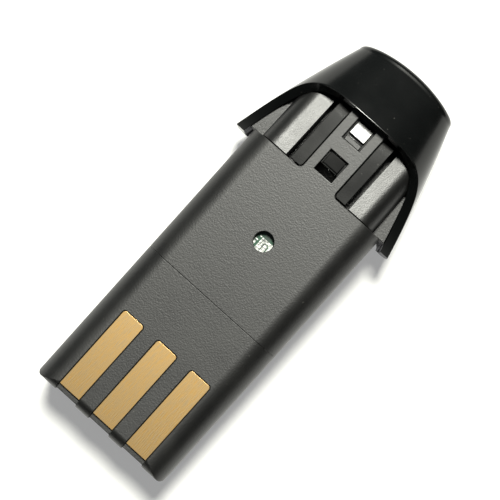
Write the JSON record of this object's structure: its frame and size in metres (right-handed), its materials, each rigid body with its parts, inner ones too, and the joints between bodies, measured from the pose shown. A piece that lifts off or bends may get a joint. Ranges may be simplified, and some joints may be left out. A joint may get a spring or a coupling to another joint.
{
  "type": "usb microcontroller programmer",
  "caption": "Slide-in pack-shaped USB programmer with gold contact strips on its nose, a sprung snap finger under a windowed tongue, and a flared arched hood.",
  "frame": {"origin": "under the middle of the length and width, on the plane of the flat back", "axes": "+X across the contact face, +Y from the contact nose towards the flared hood, +Z out of the contact face"},
  "size_m": [0.0392, 0.0904, 0.0215],
  "materials": {
    "case_plastic": "spark-eroded moulded black ABS, matte and finely grained",
    "hood_plastic": "smooth moulded black ABS, satin gloss",
    "frame_plastic": "moulded black glass-filled nylon, finely grained",
    "gold_plate": "thin gold plate over nickel, brushed along its length",
    "board_laminate": "glass-epoxy laminate with green solder mask",
    "tinned_copper": "reflowed solder on copper, smooth",
    "chip_resin": "moulded epoxy resin with tinned legs",
    "plated_can": "drawn steel, nickel plated",
    "capacitor_ceramic": "fired ceramic with tinned ends",
    "resistor_ceramic": "glazed alumina with tinned ends",
    "socket_resin": "moulded heat-resistant resin",
    "lead_insulation": "extruded soft vinyl insulation",
    "cell_sleeve": "heat-shrunk vinyl sleeve over a steel can",
    "washer_paper": "punched fibre paper",
    "nickel_strip": "rolled nickel strip",
    "foam": "closed-cell foam",
    "screw_steel": "machined steel, black zinc plated"
  },
  "bodies": {
    "root": {"nose_cap": "case_plastic", "upper_cover": "case_plastic", "lower_shell": "case_plastic", "hood_shell": "hood_plastic", "neck_frame": "frame_plastic", "circuit_board": "board_laminate", "usb_board": "board_laminate", "test_pad": "tinned_copper", "microcontroller": "chip_resin", "memory_chip": "chip_resin", "usb_bridge_chip": "chip_resin", "voltage_regulator": "chip_resin", "crystal": "plated_can", "capacitors": "capacitor_ceramic", "resistors": "resistor_ceramic", "usb_socket": "plated_can", "socket_tongue": "socket_resin", "usb_leads": "lead_insulation", "cell_left": "cell_sleeve", "cell_right": "cell_sleeve", "cell_washers": "washer_paper", "front_bridge": "nickel_strip", "rear_tab_left": "nickel_strip", "rear_tab_right": "nickel_strip", "foam_tapes": "foam", "front_foam_pad": "foam", "case_screws": "screw_steel", "contact_strip_left": "gold_plate", "contact_strip_middle": "gold_plate", "contact_strip_right": "gold_plate"},
    "latch": {"latch_finger": "frame_plastic"}
  },
  "joints": [
    {"name": "latch_flex", "type": "hinge", "parent": "root", "child": "latch", "pos_m": [0, 0.0369, 0.0152], "axis": [1, 0, 0], "range_deg": [0, 7], "stiffness_Nm_per_rad": 0.3, "springref_deg": -1.72}
  ]
}
